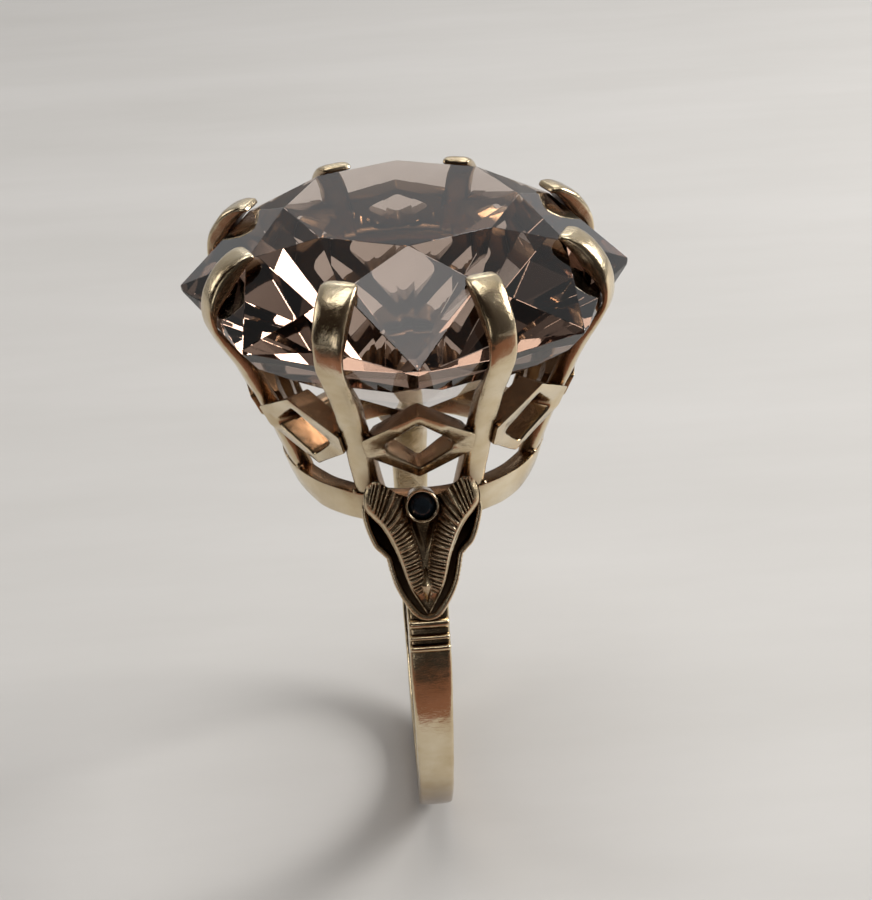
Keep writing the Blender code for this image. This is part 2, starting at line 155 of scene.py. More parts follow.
def polar(radius, azimuth, z):
    """A point at a radius and a height about the stone's axis, with its azimuth in degrees."""
    turn = math.radians(azimuth)
    return Vector((radius * math.cos(turn), radius * math.sin(turn), z))


def smooth_step(low, high, value):
    """0 below low, 1 above high, and a smooth rise between; works on numbers and arrays."""
    t = np.clip((value - low) / (high - low), 0.0, 1.0)
    return t * t * (3.0 - 2.0 * t)


def curve_through(rows, per_span):
    """Catmull-Rom points through rows of numbers."""
    rows = [np.array(row, float) for row in rows]
    points = []
    for i in range(len(rows) - 1):
        before = rows[max(i - 1, 0)]
        start, end = rows[i], rows[i + 1]
        after = rows[min(i + 2, len(rows) - 1)]
        for step in range(per_span):
            t = step / per_span
            points.append(0.5 * (
                2 * start + (end - before) * t
                + (2 * before - 5 * start + 4 * end - after) * t ** 2
                + (3 * start - before - 3 * end + after) * t ** 3
            ))
    points.append(rows[-1])
    return points


def wear(bm, amount, scale, seed):
    """Small uneven moves of every point, as of a piece that was filed and polished by hand."""
    offset = Vector((seed * 7.31, seed * 3.17, seed * 5.77))
    for vert in bm.verts:
        vert.co += noise.noise_vector(vert.co * scale + offset) * amount


def loft(bm, rings, closed_path=False):
    """Quads between rings of equally many points, with an end face at each open end."""
    loops = [[bm.verts.new(point) for point in ring] for ring in rings]
    pairs = list(zip(loops, loops[1:] + loops[:1]))
    for first, second in pairs if closed_path else pairs[:-1]:
        for i in range(len(first)):
            j = (i + 1) % len(first)
            bm.faces.new((first[i], first[j], second[j], second[i]))
    if not closed_path:
        bm.faces.new(loops[0])
        bm.faces.new(loops[-1])


def revolve(bm, section, segments):
    """A half section of (radius, height) turned about Z; a point at radius 0 becomes a pole."""
    rings = []
    for radius, height in section:
        if radius == 0.0:
            rings.append([bm.verts.new((0.0, 0.0, height))])
            continue
        turns = [2 * math.pi * i / segments for i in range(segments)]
        rings.append([bm.verts.new((radius * math.cos(t), radius * math.sin(t), height)) for t in turns])
    ends_meet = len(rings[0]) > 1 and len(rings[-1]) > 1
    for first, second in zip(rings, rings[1:] + (rings[:1] if ends_meet else [])):
        for i in range(segments):
            j = (i + 1) % segments
            upper = [first[i % len(first)], first[j % len(first)]]
            lower = [second[j % len(second)], second[i % len(second)]]
            bm.faces.new(list(dict.fromkeys(upper + lower)))


def piece(name, bm, material, smooth_angle=35.0, azimuth=0.0):
    """A finished piece of the ring from a millimetre bmesh, turned about the stone's axis."""
    bmesh.ops.recalc_face_normals(bm, faces=bm.faces)
    turn = Matrix.Rotation(math.radians(azimuth), 4, "Z")
    bmesh.ops.transform(bm, matrix=Matrix.Scale(MM, 4) @ turn, verts=bm.verts)
    mesh = bpy.data.meshes.new(name)
    bm.to_mesh(mesh)
    bm.free()
    mesh.materials.append(material)
    if smooth_angle > 0.0:
        mesh.shade_smooth()
        mesh.set_sharp_from_angle(angle=math.radians(smooth_angle))
    obj = bpy.data.objects.new(name, mesh)
    bpy.context.scene.collection.objects.link(obj)
    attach(obj, "root")
    return obj


# ---------------------------------------------------------------- materials


class Nodes:
    """Short calls for building one material's node tree."""

    def __init__(self, name):
        self.material = bpy.data.materials.new(name)
        self.material.use_nodes = True
        self.tree = self.material.node_tree
        self.shader = self.tree.nodes["Principled BSDF"]
        self.output = self.tree.nodes["Material Output"]
        coordinates = self.add("ShaderNodeTexCoord")
        self.place = self.add("ShaderNodeMapping")
        self.place.inputs["Scale"].default_value = (1000.0, 1000.0, 1000.0)
        self.link(coordinates.outputs["Object"], self.place.inputs["Vector"])

    def add(self, kind, **settings):
        node = self.tree.nodes.new(kind)
        for key, value in settings.items():
            setattr(node, key, value)
        return node

    def link(self, start, end):
        self.tree.links.new(start, end)

    def stretched(self, scale, turn=(0.0, 0.0, 0.0)):
        """Object coordinates in millimetres, scaled and turned."""
        mapping = self.add("ShaderNodeMapping")
        mapping.inputs["Scale"].default_value = scale
        mapping.inputs["Rotation"].default_value = turn
        self.link(self.place.outputs["Vector"], mapping.inputs["Vector"])
        return mapping.outputs["Vector"]

    def noise(self, scale, detail=3.0, roughness=0.5, vector=None, distortion=0.0):
        node = self.add("ShaderNodeTexNoise")
        node.inputs["Scale"].default_value = scale
        node.inputs["Detail"].default_value = detail
        node.inputs["Roughness"].default_value = roughness
        node.inputs["Distortion"].default_value = distortion
        self.link(vector or self.place.outputs["Vector"], node.inputs["Vector"])
        return node.outputs["Fac"]

    def ramp(self, value, *stops):
        """A colour ramp over (position, colour) stops; a number stands for a grey."""
        node = self.add("ShaderNodeValToRGB")
        elements = node.color_ramp.elements
        while len(elements) < len(stops):
            elements.new(0.5)
        for element, (position, colour) in zip(elements, stops):
            element.position = position
            grey = isinstance(colour, (int, float))
            element.color = (colour, colour, colour, 1.0) if grey else (*colour, 1.0)
        self.link(value, node.inputs["Fac"])
        return node.outputs["Color"]

    def mix(self, factor, first, second):
        """Blends two colours; each input is a socket, a number or a colour."""
        node = self.add("ShaderNodeMix", data_type="RGBA")
        self.feed(factor, node.inputs["Factor"])
        self.feed(first, node.inputs["A"])
        self.feed(second, node.inputs["B"])
        return node.outputs["Result"]

    def feed(self, value, socket):
        if isinstance(value, bpy.types.NodeSocket):
            self.link(value, socket)
        elif isinstance(value, (int, float)):
            socket.default_value = value
        else:
            socket.default_value = (*value, 1.0)

    def math(self, operation, first, second=0.5):
        node = self.add("ShaderNodeMath", operation=operation)
        for socket, value in ((node.inputs[0], first), (node.inputs[1], second)):
            self.feed(value, socket)
        return node.outputs["Value"]

    def bump(self, height, strength, distance_mm, under=None):
        node = self.add("ShaderNodeBump")
        node.inputs["Strength"].default_value = strength
        node.inputs["Distance"].default_value = distance_mm * MM
        self.link(height, node.inputs["Height"])
        if under is not None:
            self.link(under, node.inputs["Normal"])
        return node.outputs["Normal"]


GOLD_DEEP = (0.60, 0.47, 0.29)
GOLD_MIDDLE = (0.71, 0.59, 0.40)
GOLD_PALE = (0.82, 0.72, 0.54)
# Painted shade: the dark brown that the metal is turned to inside the basket.
GOLD_SHADED = (0.22, 0.135, 0.075)
GRIME = (0.06, 0.038, 0.024)
# How far, in millimetres, a surface looks for a neighbour: across a groove for the grime, and across the
# basket for the painted shade.
GROOVE_REACH = 0.3
BASKET_REACH = 8.0

SMOKE_COLOUR = (0.63, 0.50, 0.41, 1.0)
SMOKE_DENSITY = 150.0
QUARTZ_IOR = 1.544
ACCENT_IOR = 1.76


def gold_material(name="worn_gold", tarnish=0.0, grime_start=0.62, satin=0.0):
    """Pale 9 carat gold: polished where it stands proud, brown in the grooves, and darkened inside the basket
    by painted shade.

    Tarnish browns the whole surface, grime_start is how open a corner must be to stay clean, and satin
    adds to the roughness."""
    n = Nodes(name)
    clouds = n.noise(0.55, 4.0, 0.55)
    metal = n.ramp(clouds, (0.3, GOLD_DEEP), (0.5, GOLD_MIDDLE), (0.72, GOLD_PALE))
    hollow = n.add("ShaderNodeAmbientOcclusion", samples=8)
    hollow.inputs["Distance"].default_value = GROOVE_REACH * MM
    open_part = n.ramp(hollow.outputs["AO"], (0.12, 0.0), (grime_start, 1.0))
    uneven = n.ramp(n.noise(3.0, 5.0, 0.6), (0.3, 0.5), (0.6, 1.0))
    grime = n.math("MULTIPLY", n.math("SUBTRACT", 1.0, open_part), uneven)
    if tarnish > 0.0:
        film = n.ramp(n.noise(1.4, 4.0), (0.3, tarnish * 0.8), (0.7, tarnish))
        grime = n.math("MAXIMUM", grime, film)
    # Painted shade: where the basket closes a surface in, its colour is mixed towards GOLD_SHADED.
    inside = n.add("ShaderNodeAmbientOcclusion", samples=8)
    inside.inputs["Distance"].default_value = BASKET_REACH * MM
    shaded = n.ramp(inside.outputs["AO"], (0.42, 0.95), (0.86, 0.0))
    metal = n.mix(shaded, metal, GOLD_SHADED)
    n.link(n.mix(grime, metal, GRIME), n.shader.inputs["Base Color"])
    n.shader.inputs["Metallic"].default_value = 1.0
    scratch_one = n.noise(1.0, 2.0, 0.4, n.stretched((1.5, 38.0, 6.0), (0.3, 0.5, 0.2)), 0.3)
    scratch_two = n.noise(1.0, 2.0, 0.4, n.stretched((30.0, 2.0, 9.0), (0.7, 0.1, 1.1)), 0.3)
    scratches = n.math(
        "MULTIPLY",
        n.ramp(scratch_one, (0.46, 1.0), (0.5, 0.0), (0.54, 1.0)),
        n.ramp(scratch_two, (0.47, 1.0), (0.5, 0.2), (0.53, 1.0)),
    )
    patches = n.noise(1.3, 6.0, 0.65)
    dull = n.ramp(patches, (0.35, 0.08 + satin), (0.55, 0.13 + satin), (0.75, 0.24 + satin))
    n.link(n.math("ADD", dull, n.math("MULTIPLY", grime, 0.3)), n.shader.inputs["Roughness"])
    normal = n.bump(n.noise(1.6, 3.0, 0.5), 0.4, 0.05)
    normal = n.bump(scratches, 0.3, 0.004, normal)
    n.link(normal, n.shader.inputs["Normal"])
    return n.material


def quartz_material():
    """Smoky quartz: clear, brownish grey through its depth, with faint clouds and rubbed facets."""
    n = Nodes("smoky_quartz_stone")
    veil = n.noise(0.22, 5.0, 0.6, distortion=0.8)
    clear = n.ramp(veil, (0.35, (0.90, 0.86, 0.84)), (0.65, (1.0, 0.985, 0.97)))
    n.link(clear, n.shader.inputs["Base Color"])
    n.shader.inputs["Transmission Weight"].default_value = 1.0
    n.shader.inputs["IOR"].default_value = QUARTZ_IOR
    rubbed = n.noise(1.6, 6.0, 0.7)
    n.link(n.ramp(rubbed, (0.5, 0.0), (0.8, 0.035)), n.shader.inputs["Roughness"])
    scuffs = n.noise(1.0, 3.0, 0.5, n.stretched((0.6, 9.0, 4.0), (0.2, 0.9, 0.4)))
    n.link(n.bump(scuffs, 0.05, 0.004), n.shader.inputs["Normal"])
    smoke = n.add("ShaderNodeVolumeAbsorption")
    smoke.inputs["Color"].default_value = SMOKE_COLOUR
    smoke.inputs["Density"].default_value = SMOKE_DENSITY
    n.link(smoke.outputs["Volume"], n.output.inputs["Volume"])
    return n.material


def accent_material():
    """A nearly opaque dark blue stone."""
    n = Nodes("dark_blue_stone")
    zones = n.noise(1.5, 3.0, 0.5, distortion=0.5)
    blue = n.ramp(zones, (0.35, (0.004, 0.007, 0.012)), (0.7, (0.016, 0.03, 0.045)))
    n.link(blue, n.shader.inputs["Base Color"])
    n.link(n.ramp(n.noise(4.0, 4.0), (0.4, 0.04), (0.7, 0.14)), n.shader.inputs["Roughness"])
    n.shader.inputs["IOR"].default_value = ACCENT_IOR
    return n.material


def floor_material():
    """A matt, pale grey-beige surface with a very faint grain."""
    n = Nodes("pale_floor")
    grain = n.noise(0.05, 5.0, 0.6, n.stretched((0.35, 1.6, 1.0)))
    beige = n.ramp(grain, (0.3, (0.66, 0.645, 0.62)), (0.7, (0.72, 0.705, 0.685)))
    n.link(beige, n.shader.inputs["Base Color"])
    n.shader.inputs["Roughness"].default_value = 0.6
    n.link(n.bump(grain, 0.2, 0.4), n.shader.inputs["Normal"])
    return n.material


# ---------------------------------------------------------------- large stone


# How far a break in the pavilion's corner facets sits inside the flat ones, and the bevel of every edge.
CORNER_BREAK_INSET = 0.42
FACET_BEVEL = 0.02


def stone_outline(z):
    """The girdle's outline at a height: eight blunt corners, and a slight waist at each claw."""
    points = []
    for k in range(CLAW_COUNT):
        corner = k * CLAW_STEP
        points.append(polar(STONE_CORNER_SIDE, corner - STONE_CORNER_TURN, z))
        points.append(polar(STONE_CORNER, corner, z))
        points.append(polar(STONE_CORNER_SIDE, corner + STONE_CORNER_TURN, z))
        points.append(polar(STONE_FLAT, corner + CLAW_PHASE, z))
    return points


def level(z):
    """Three points of a level plane."""
    return (Vector((0, 0, z)), Vector((1, 0, z)), Vector((0, 1, z)))


def facet_planes():
    """Each facet as three points of its plane, tier by tier from the table to the culet."""
    half_turn = math.cos(math.radians(CLAW_PHASE))
    main_slope = (TABLE_Z - GIRDLE_TOP) / (STONE_CORNER - TABLE_CORNER)
    star_z = TABLE_Z - main_slope * (STAR_RADIUS * half_turn - TABLE_CORNER)
    break_flat = PAVILION_BREAK_RADIUS * half_turn
    culet = Vector((0, 0, CULET_Z))
    planes = [level(TABLE_Z)]
    for k in range(CLAW_COUNT):
        corner = k * CLAW_STEP
        claw = corner + CLAW_PHASE
        table = polar(TABLE_CORNER, corner, TABLE_Z)
        next_table = polar(TABLE_CORNER, corner + CLAW_STEP, TABLE_Z)
        star = polar(STAR_RADIUS, claw, star_z)
        girdle = polar(STONE_CORNER, corner, GIRDLE_TOP)
        flat = polar(UPPER_GIRDLE_REACH, claw, GIRDLE_TOP)
        next_girdle = polar(STONE_CORNER, corner + CLAW_STEP, GIRDLE_TOP)
        planes.append((table, polar(STAR_RADIUS, corner - CLAW_PHASE, star_z), girdle))
        planes.append((table, next_table, star))
        planes.append((star, girdle, flat))
        planes.append((star, flat, next_girdle))
        side = polar(1.0, claw + 90.0, 0.0)
        low_flat = polar(STONE_FLAT, claw, GIRDLE_BOTTOM)
        pavilion_break = polar(break_flat, claw, PAVILION_BREAK_Z)
        planes.append((low_flat, low_flat + side, pavilion_break))
        planes.append((culet, culet + side, pavilion_break))
        corner_side = polar(1.0, corner + 90.0, 0.0)
        corner_break = polar(PAVILION_BREAK_RADIUS - CORNER_BREAK_INSET, corner, PAVILION_BREAK_Z)
        planes.append((culet, culet + corner_side, corner_break))
    planes.append(level(CULET_Z + CULET_HALF_WIDTH * (PAVILION_BREAK_Z - CULET_Z) / break_flat))
    return planes


def cut_by_plane(bm, points):
    """Removes what lies beyond the plane, seen from the middle of the stone, and closes the cut."""
    first, second, third = points
    normal = (second - first).cross(third - first).normalized()
    inside = Vector((0, 0, (GIRDLE_TOP + GIRDLE_BOTTOM) / 2))
    if normal.dot(inside - first) > 0:
        normal.negate()
    everything = bm.verts[:] + bm.edges[:] + bm.faces[:]
    result = bmesh.ops.bisect_plane(
        bm, geom=everything, dist=1e-5, plane_co=first, plane_no=normal, clear_outer=True
    )
    edges = [item for item in result["geom_cut"] if isinstance(item, bmesh.types.BMEdge)]
    open_edges = [edge for edge in edges if edge.is_valid and edge.is_boundary]
    if open_edges:
        bmesh.ops.holes_fill(bm, edges=open_edges, sides=0)


def make_stone(material):
    """The large stone: a rough column, cut by each facet's plane, with finely worn edges."""
    bm = bmesh.new()
    loft(bm, [stone_outline(CULET_Z - 1.0), stone_outline(TABLE_Z + 1.0)])
    for points in facet_planes():
        cut_by_plane(bm, points)
    bmesh.ops.remove_doubles(bm, verts=bm.verts, dist=1e-3)
    bmesh.ops.bevel(
        bm, geom=bm.edges[:], offset=FACET_BEVEL, segments=1, affect="EDGES", clamp_overlap=True
    )
    stone = piece("quartz_faceted", bm, material, smooth_angle=0.0)
    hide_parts("smoky_quartz")


# ---------------------------------------------------------------- claws

CLAW_SECTION_POINTS = 28
CLAW_SQUARENESS = 0.42
# The stations from this one on form the tip, which differs a little from claw to claw.
CLAW_TIP_STATION = 10
# The rounded end: shares of the last section's size, and how far each is pushed out.
CLAW_END = ((0.93, 0.05), (0.78, 0.09), (0.5, 0.115), (0.2, 0.12))


def claw_ring(station, twist):
    """A rounded-rectangle section between the outer and inner points of a station."""
    outer_r, outer_z, inner_r, inner_z, half = station
    outer = Vector((outer_r, 0.0, outer_z))
    inner = Vector((inner_r, 0.0, inner_z))
    middle = (outer + inner) / 2
    across = (outer - inner) / 2
    ring = []
    for i in range(CLAW_SECTION_POINTS):
        turn = 2 * math.pi * (i + 0.5) / CLAW_SECTION_POINTS
        c, s = math.cos(turn), math.sin(turn)
        wide = math.copysign(abs(c) ** CLAW_SQUARENESS, c)
        deep = math.copysign(abs(s) ** (CLAW_SQUARENESS + 0.12), s)
        crown = 1.0 - 0.16 * wide * wide if deep > 0 else 1.0
        ring.append(middle + across * deep * crown + Vector((0.0, half * wide + twist, 0.0)))
    return ring


def make_claw(index, material):
    """One claw, with its own small differences in width and in how its tip was pushed over."""
    stations = [list(row) for row in CLAW_STATIONS]
    for row in stations[CLAW_TIP_STATION:]:
        row[4] *= 1.0 + 0.07 * math.sin(index * 2.3)
    rows = curve_through(stations, 7)
    lean = 0.05 * math.sin(index * 1.7 + 0.6)
    rings = []
    for i, row in enumerate(rows):
        along = i / (len(rows) - 1)
        rings.append(claw_ring(row, lean * smooth_step(0.6, 1.0, along)))
    last = rings[-1]
    centre = sum(last, Vector()) / len(last)
    forward = (centre - sum(rings[-4], Vector()) / len(last)).normalized()
    for shrink, push in CLAW_END:
        rings.append([centre + (p - centre) * shrink + forward * push for p in last])
    bm = bmesh.new()
    loft(bm, rings)
    wear(bm, 0.03, 0.9, index)
    wear(bm, 0.008, 3.5, index + 20)
    name = f"claw_bar_{index}"
    claw = piece(name, bm, material, 50.0, CLAW_PHASE + (index - 1) * CLAW_STEP)
    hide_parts(f"claw_{index}")


# ---------------------------------------------------------------- gallery


def frame_radius(z):
    """How far the front of the frames stands from the stone's axis at a height."""
    return FRAME_BOTTOM_RADIUS + FRAME_SLOPE * (z - FRAME_BOTTOM_Z)


def frame_side(radius):
    """Half the width between two claws, reaching a little way into them."""
    turn = math.radians(CLAW_PHASE)
    return (radius * math.sin(turn) - 0.5) / math.cos(turn)


def rounded(corners, radius, arc_points=4, edge_points=5):
    """A closed outline through corners given as (width, z), with each corner rounded."""
    corners = [Vector(c) for c in corners]
    outline = []
    for before, corner, after in zip(corners[-1:] + corners[:-1], corners, corners[1:] + corners[:1]):
        reach_in = min(radius, (before - corner).length * 0.4)
        reach_out = min(radius, (after - corner).length * 0.4)
        start = corner + (before - corner).normalized() * reach_in
        end = corner + (after - corner).normalized() * reach_out
        for i in range(arc_points + 1):
            t = i / arc_points
            outline.append(start * (1 - t) ** 2 + corner * 2 * t * (1 - t) + end * t * t)
        next_start = after + (corner - after).normalized() * min(radius, (after - corner).length * 0.4)
        for i in range(1, edge_points):
            outline.append(end.lerp(next_start, i / edge_points))
    return outline


def frame_loops(inset, depth):
    """Outer outline of a frame, moved in towards its middle by inset, at a depth behind its front."""
    shape = (
        (0.0, FRAME_TOP_Z - inset * 1.25), (1.0, FRAME_UPPER_SIDE_Z - inset * 0.3),
        (1.0, FRAME_LOWER_SIDE_Z + inset * 0.3), (0.0, FRAME_BOTTOM_Z + inset * 1.25),
        (-1.0, FRAME_LOWER_SIDE_Z + inset * 0.3), (-1.0, FRAME_UPPER_SIDE_Z - inset * 0.3),
    )
    corners = []
    for side, z in shape:
        corners.append((side * (frame_side(frame_radius(z) - depth) - inset * 0.4), z))
    return corners


def hole_loops(grow, depth):
    """The lozenge opening, grown outwards, at a depth behind the front."""
    front = frame_radius(HOLE_SIDE_Z)
    half = (HOLE_HALF_WIDTH + grow * 1.2) * frame_side(front - depth) / frame_side(front)
    rise = 0.16
    return (
        (0.0, HOLE_TOP_Z + grow), (half, HOLE_SIDE_Z + rise), (half, HOLE_SIDE_Z - rise),
        (0.0, HOLE_BOTTOM_Z - grow), (-half, HOLE_SIDE_Z - rise), (-half, HOLE_SIDE_Z + rise),
    )


def make_gallery_frame(index, material):
    """A flat frame with a lozenge hole between two claws, its edges softened."""
    edge = 0.06
    section = (
        (frame_loops(0.0, 0.0), FRAME_DEPTH, 0.1), (frame_loops(0.0, 0.0), edge * 1.4, 0.1),
        (frame_loops(edge * 0.35, 0.0), edge * 0.4, 0.1), (frame_loops(edge, 0.0), 0.0, 0.1),
        (hole_loops(0.1, 0.0), 0.0, 0.24), (hole_loops(0.04, 0.0), 0.05, 0.24),
        (hole_loops(0.0, 0.0), 0.14, 0.24), (hole_loops(0.0, 0.0), FRAME_DEPTH, 0.24),
    )
    loops = []
    for corners, depth, radius in section:
        outline = rounded(corners, radius)
        points = []
        for point in outline:
            width, z = point
            front = frame_radius(z)
            narrow = frame_side(front - depth) / frame_side(front)
            points.append(Vector((front - depth, width * narrow, z)))
        loops.append(points)
    bm = bmesh.new()
    loft(bm, loops, closed_path=True)
    wear(bm, 0.02, 1.6, index + 40)
    frame_piece = piece(f"gallery_lozenge_{index}", bm, material, 40.0, (index - 1) * CLAW_STEP)
    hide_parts(f"gallery_frame_{index}")


RAIL_STEPS = 288
RAIL_EDGE = 0.1


def rail_edge(radius_sign, start_z, z_sign):
    """Three points round one edge of the rail, as (radius change, z), from the wall to the flat."""
    return [
        (0.0, start_z - z_sign * RAIL_EDGE),
        (radius_sign * RAIL_EDGE * 0.3, start_z - z_sign * RAIL_EDGE * 0.3),
        (radius_sign * RAIL_EDGE, start_z),
    ]


def rail_ring(azimuth):
    """The base rail's section at one azimuth; its foot follows the finger hole's saddle."""
    slope = (RAIL_TOP_RADIUS - RAIL_BOTTOM_RADIUS) / (RAIL_TOP_Z - RAIL_BOTTOM_Z)
    sine = abs(math.sin(math.radians(azimuth)))

    def foot(radius):
        reach = (FINGER_RADIUS + 0.04) ** 2 - (radius * sine) ** 2
        return max(RAIL_BOTTOM_Z, math.sqrt(max(reach, 0.0)))

    def outer(z):
        return RAIL_TOP_RADIUS + slope * (z - RAIL_TOP_Z)

    outer_foot = foot(outer(RAIL_BOTTOM_Z + 0.4))
    inner_foot = foot(outer(RAIL_BOTTOM_Z + 0.4) - RAIL_WALL)
    outer_top = rail_edge(-1, RAIL_TOP_Z, 1)
    inner_top = reversed(rail_edge(1, RAIL_TOP_Z, 1))
    inner_low = rail_edge(1, inner_foot, -1)
    outer_low = reversed(rail_edge(-1, outer_foot, -1))
    section = [(outer(z) + change, z) for change, z in outer_top]
    section += [(outer(z) - RAIL_WALL + change, z) for change, z in inner_top]
    section += [(outer(z) - RAIL_WALL + change, z) for change, z in inner_low]
    section += [(outer(z) + change, z) for change, z in outer_low]
    return [polar(radius, azimuth, z) for radius, z in section]


def make_base_rail(material):
    """The ring of metal under the basket, saddled on the shank."""
    bm = bmesh.new()
    loft(bm, [rail_ring(360.0 * i / RAIL_STEPS) for i in range(RAIL_STEPS)], closed_path=True)
    wear(bm, 0.03, 1.1, 60)
    rail = piece("basket_rail", bm, material, 45.0)
    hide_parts("base_rail")


# ---------------------------------------------------------------- shank


def table_value(table, value):
    """The amount at a position, read between the rows of a (position, amount) table."""
    positions, amounts = zip(*table)
    return float(np.interp(value, positions, amounts))


def shank_outer(angle):
    """Outer radius at an angle from the top, with the three raised ridges and their worn crests."""
    radius = SHANK_RADIUS
    for start, end in RIDGE_SPANS:
        share = (angle - start + 0.3) / (end - start + 0.6)
        if 0.0 < share < 1.0:
            rise = math.sin(math.pi * share) ** 0.5
            radius = max(radius, SHANK_RADIUS + (RIDGE_RADIUS - SHANK_RADIUS) * rise)
    return radius


def shank_section(angle):
    """Half section as (x, radius): a flat outside, soft edges, straight sides and an eased inside."""
    half = table_value(SHANK_HALF_WIDTHS, angle)
    outer = shank_outer(angle)
    points = [(0.0, FINGER_RADIUS), (half - 0.26, FINGER_RADIUS + 0.01)]
    for i in range(5):
        turn = math.pi / 2 * i / 4
        points.append((half - 0.16 + 0.16 * math.sin(turn), FINGER_RADIUS + 0.16 - 0.15 * math.cos(turn)))
    bevel = 0.17
    for i in range(5):
        turn = math.pi / 2 * i / 4
        rise = (bevel - 0.02) * math.sin(turn)
        points.append((half - bevel * 1.2 * (1 - math.cos(turn)), outer - bevel + rise))
    points += [(half * 0.5, outer - 0.004), (0.0, outer)]
    return points


def shank_ring(angle, side, flat_top=False):
    """The whole section at an angle down one side; a flat top is cut level under the rail."""
    section = shank_section(angle)
    section += [(-x, radius) for x, radius in reversed(section[1:-1])]
    ring = []
    for x, radius in section:
        turn = math.acos(SHANK_TOP_Z / radius) if flat_top else math.radians(angle)
        ring.append(Vector((x, side * radius * math.sin(turn), radius * math.cos(turn))))
    return ring


def make_shank(material):
    """The band, from under the rail on one side round to the other, filled in finer steps at the ridges."""
    angles = list(np.arange(SHANK_FIRST_ANGLE, 60.0, 1.0)) + list(np.arange(60.0, 70.5, 0.15))
    angles += list(np.arange(70.5, 180.0, 1.0))
    rings = [shank_ring(SHANK_FIRST_ANGLE, -1.0, flat_top=True)]
    rings += [shank_ring(angle, -1.0) for angle in angles] + [shank_ring(180.0, 1.0)]
    rings += [shank_ring(angle, 1.0) for angle in reversed(angles)]
    rings.append(shank_ring(SHANK_FIRST_ANGLE, 1.0, flat_top=True))
    bm = bmesh.new()
    loft(bm, rings)
    wear(bm, 0.025, 0.7, 70)
    wear(bm, 0.006, 3.0, 71)
    shank = piece("shank_band", bm, material, 45.0)
    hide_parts("shank")


# ---------------------------------------------------------------- shoulders

SLANT_UP = Vector((0.0, math.sin(SLANT), math.cos(SLANT)))
SLANT_OUT = Vector((0.0, -math.cos(SLANT), math.sin(SLANT)))


def on_slant(x, s, n=0.0):
    """A point of the front shoulder: x across, s up from the tip, n out of the plane."""
    return Vector((x, TIP_Y, TIP_Z)) + SLANT_UP * s + SLANT_OUT * n


def depth_at_radius(s, radius):
    """The n at which a line across the slant, at s, reaches a radius about the finger's axis."""
    y, z = TIP_Y + s * math.sin(SLANT), TIP_Z + s * math.cos(SLANT)
    b = -y * math.cos(SLANT) + z * math.sin(SLANT)
    return -b + math.sqrt(max(b * b - (y * y + z * z - radius * radius), 0.0))


def clear_of_basket(point):
    """Keeps a hidden lower point out of the basket's inside, just within the rail or a claw's foot."""
    basket = 5.95 + 0.38 * (point.z - RAIL_TOP_Z)
    limit = -math.sqrt(max(basket * basket - point.x * point.x, 0.0))
    if point.y > limit:
        point.y = limit
    return point


def dense(outline, per_span=24):
    """An outline with points added between its rows."""
    return np.array(curve_through(outline, per_span))


GROOVE_PITCH = 0.175
GROOVE_DEPTH = 0.11
LEAF_ROWS = 230
LEAF_COLUMNS = 76
GROOVE_TOP_DIRECTION = np.array((-0.26, 0.966))
# Of the leaf's outline, the lines start along the first part, and the border follows a little more.
LINED_POINTS = 8
BORDER_POINTS = 10


def leaf_outer(s):
    """The leaf's outer side: its half width at s."""
    outline = dense(LEAF_HALF)
    order = np.argsort(outline[:, 1])
    return float(np.interp(s, outline[order, 1], outline[order, 0]))


def leaf_inner(s):
    """The leaf's inner side: the centre line, then around the bezel, then up the lobe's inside."""
    seat = BEZEL_OUTER - 0.02
    seat_end = BEZEL_S + seat * 0.55
    if s < BEZEL_S - seat:
        return -0.004
    if s < seat_end:
        return math.sqrt(max(seat * seat - (s - BEZEL_S) ** 2, 0.0)) - 0.004
    return float(np.interp(s, (seat_end, 5.7, 6.0, 6.3), (seat * 0.835, 1.05, 1.4, 1.85)))


def groove_positions(spots):
    """For each spot, its distance from the leaf's border, and where along it its engraved line starts.

    The lines leave the border at right angles low down, and fan round to nearly upright on the lobes."""
    border = np.array(curve_through(LEAF_HALF[:LINED_POINTS], 30))
    steps = np.diff(border, axis=0)
    along = np.concatenate([[0.0], np.cumsum(np.linalg.norm(steps, axis=1))])
    tangent = np.gradient(border, axis=0)
    inward = np.stack([-tangent[:, 1], tangent[:, 0]], axis=1)
    inward /= np.linalg.norm(inward, axis=1)[:, None]
    upright = smooth_step(1.2, 2.3, border[:, 0])[:, None]
    lines = inward * (1 - upright) + GROOVE_TOP_DIRECTION * upright
    lines /= np.linalg.norm(lines, axis=1)[:, None]
    away = spots[:, None, :] - border[None, :, :]
    beside = np.abs(away[..., 0] * lines[:, 1] - away[..., 1] * lines[:, 0])
    behind = (away * lines).sum(axis=2) < -0.05
    start = np.where(behind, 9.0, beside).argmin(axis=1)
    fraction = along[start]
    outline = np.array(curve_through(LEAF_HALF[:BORDER_POINTS], 30))
    gaps = np.linalg.norm(spots[:, None, :] - outline[None, :, :], axis=2)
    return gaps.min(axis=1), fraction


